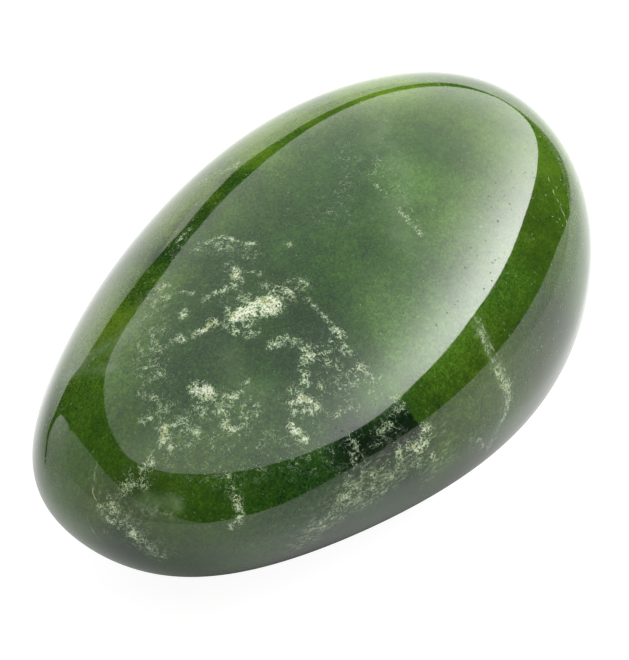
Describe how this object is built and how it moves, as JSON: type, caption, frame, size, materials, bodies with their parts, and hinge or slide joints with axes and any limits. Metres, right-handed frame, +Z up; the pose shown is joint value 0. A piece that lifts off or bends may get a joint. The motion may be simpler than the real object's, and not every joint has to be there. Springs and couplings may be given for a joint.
{
  "type": "polished jade boulder",
  "caption": "Water-worn egg-shaped stone of green nephrite, polished all over, with a small flat patch underneath that it rests on.",
  "frame": {"origin": "under the middle of the stone's box, on the surface that it rests on", "axes": "+X along the stone towards its broad end, +Z up, +Y across it"},
  "size_m": [0.15, 0.0958, 0.0656],
  "materials": {
    "polished_jade": "high polish, slightly translucent green nephrite with pale flecks and fine healed fractures"
  },
  "bodies": {
    "root": {"jade_boulder": "polished_jade"}
  },
  "joints": []
}
